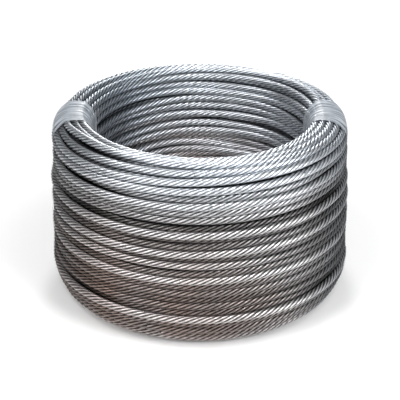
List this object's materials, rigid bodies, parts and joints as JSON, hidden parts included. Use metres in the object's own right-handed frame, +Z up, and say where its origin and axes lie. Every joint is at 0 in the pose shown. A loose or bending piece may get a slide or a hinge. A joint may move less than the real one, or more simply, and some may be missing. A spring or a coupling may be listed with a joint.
{
  "type": "coil of wire rope",
  "caption": "Flat-lying coil of thin six-strand galvanised wire rope, wound to a ring with an open bore and held together by two clear film wraps.",
  "frame": {"origin": "on the floor, on the coil's axis", "axes": "+Z up along the coil's axis, -Y is the front that the picture shows, +X its right"},
  "size_m": [0.2482, 0.25, 0.15],
  "materials": {
    "rope_coil": "galvanised wire, semi-bright, slightly dull between the turns",
    "film_wrap_left": "clear stretch film, several layers, finely wrinkled",
    "film_wrap_right": "clear stretch film, several layers, finely wrinkled"
  },
  "bodies": {
    "root": {"rope_coil": "rope_coil", "film_wrap_left": "film_wrap_left", "film_wrap_right": "film_wrap_right"}
  },
  "joints": []
}
